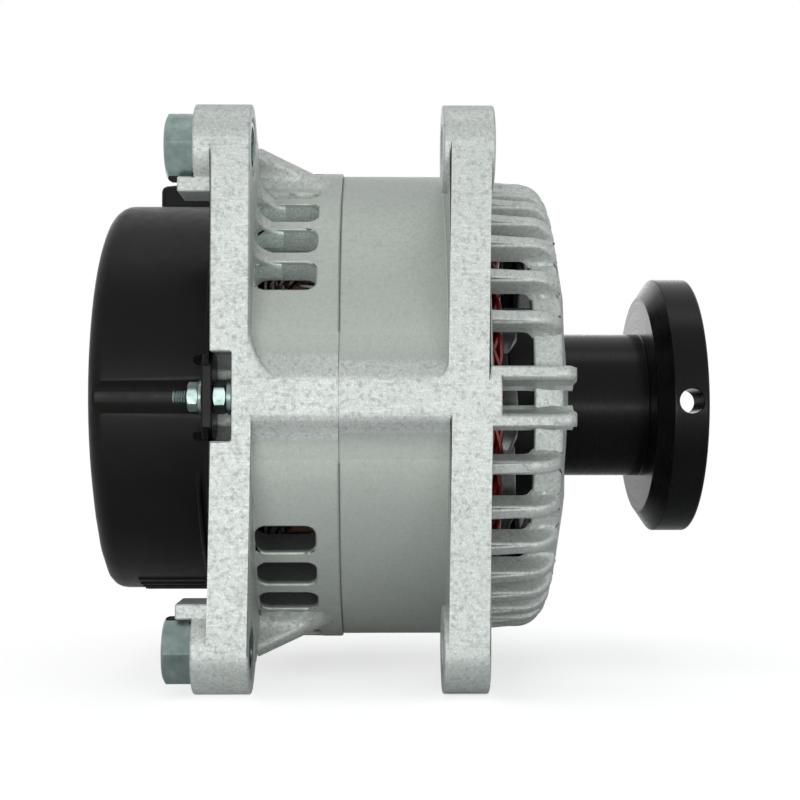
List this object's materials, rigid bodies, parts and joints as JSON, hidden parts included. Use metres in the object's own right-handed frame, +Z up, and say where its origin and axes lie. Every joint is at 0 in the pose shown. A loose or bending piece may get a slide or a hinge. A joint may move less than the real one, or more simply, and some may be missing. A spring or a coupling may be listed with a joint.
{
  "type": "alternator",
  "caption": "Twin-lug alternator with a finned vented drive end, a moulded rear cover and a flanged drive hub.",
  "frame": {"origin": "on the shaft axis, in the plane of the drive hub's front face", "axes": "+X along the shaft out of the hub, +Z up, the two mounting lugs and the front through bolt face -Y"},
  "size_m": [0.1757, 0.1465, 0.1586],
  "materials": {
    "cast_aluminium": "sand cast and shot blasted, machined at the seam",
    "cover_plastic": "satin moulded",
    "hub_black": "turned and blacked, satin",
    "zinc_plate": "bluish zinc plate",
    "plain_steel": "ground and pressed",
    "enamelled_copper": "dark red enamel, varnished",
    "core_steel": "laminated and forged, varnished",
    "terminal_brass": "plain",
    "brush_carbon": "pressed carbon",
    "insulation": "resin board"
  },
  "bodies": {
    "housing": {"rear_bracket": "cast_aluminium", "drive_bracket": "cast_aluminium", "stator_core": "core_steel", "drive_end_winding": "enamelled_copper", "rear_end_winding": "enamelled_copper", "through_bolts": "zinc_plate", "bolt_washers": "zinc_plate", "cover_nuts": "zinc_plate", "cover_nut_washers": "zinc_plate", "rear_cover": "cover_plastic", "negative_heat_sink": "cast_aluminium", "positive_heat_sink": "cast_aluminium", "diodes": "plain_steel", "rectifier_spacers": "insulation", "rectifier_screws": "zinc_plate", "b_plus_stud": "terminal_brass", "b_plus_insulator": "insulation", "b_plus_nut": "terminal_brass", "brush_holder": "cover_plastic", "regulator": "cover_plastic", "connector_socket": "cover_plastic", "drive_bearing_outer": "plain_steel", "rear_bearing_outer": "plain_steel", "bearing_retainer": "zinc_plate", "retainer_screws": "zinc_plate", "inner_brush_spring": "plain_steel", "outer_brush_spring": "plain_steel"},
    "rotor": {"shaft": "plain_steel", "drive_claw_pole": "core_steel", "rear_claw_pole": "core_steel", "field_coil": "enamelled_copper", "drive_fan": "plain_steel", "rear_fan": "plain_steel", "slip_ring_sleeve": "insulation", "slip_rings": "terminal_brass", "drive_hub": "hub_black", "hub_washer": "zinc_plate", "hub_nut": "zinc_plate", "drive_bearing_inner": "plain_steel", "drive_bearing_balls": "plain_steel", "rear_bearing_inner": "plain_steel", "rear_bearing_balls": "plain_steel"},
    "inner_brush": {"inner_brush": "brush_carbon"},
    "outer_brush": {"outer_brush": "brush_carbon"},
    "upper_bush": {"upper_mount_bush": "zinc_plate"},
    "lower_bush": {"lower_mount_bush": "zinc_plate"}
  },
  "joints": [
    {"name": "rotor_spin", "type": "hinge", "parent": "housing", "child": "rotor", "pos_m": [0, 0, 0], "axis": [1, 0, 0], "continuous": true},
    {"name": "inner_brush_slide", "type": "slide", "parent": "housing", "child": "inner_brush", "axis": [0, 0, 1], "range_m": [0, 0.005], "stiffness_N_per_m": 150, "springref_m": -0.01, "deforming": ["inner_brush_spring"]},
    {"name": "outer_brush_slide", "type": "slide", "parent": "housing", "child": "outer_brush", "axis": [0, 0, 1], "range_m": [0, 0.005], "stiffness_N_per_m": 150, "springref_m": -0.01, "deforming": ["outer_brush_spring"]},
    {"name": "upper_bush_slide", "type": "slide", "parent": "housing", "child": "upper_bush", "axis": [1, 0, 0], "range_m": [-0.006, 0]},
    {"name": "lower_bush_slide", "type": "slide", "parent": "housing", "child": "lower_bush", "axis": [1, 0, 0], "range_m": [-0.006, 0]}
  ]
}
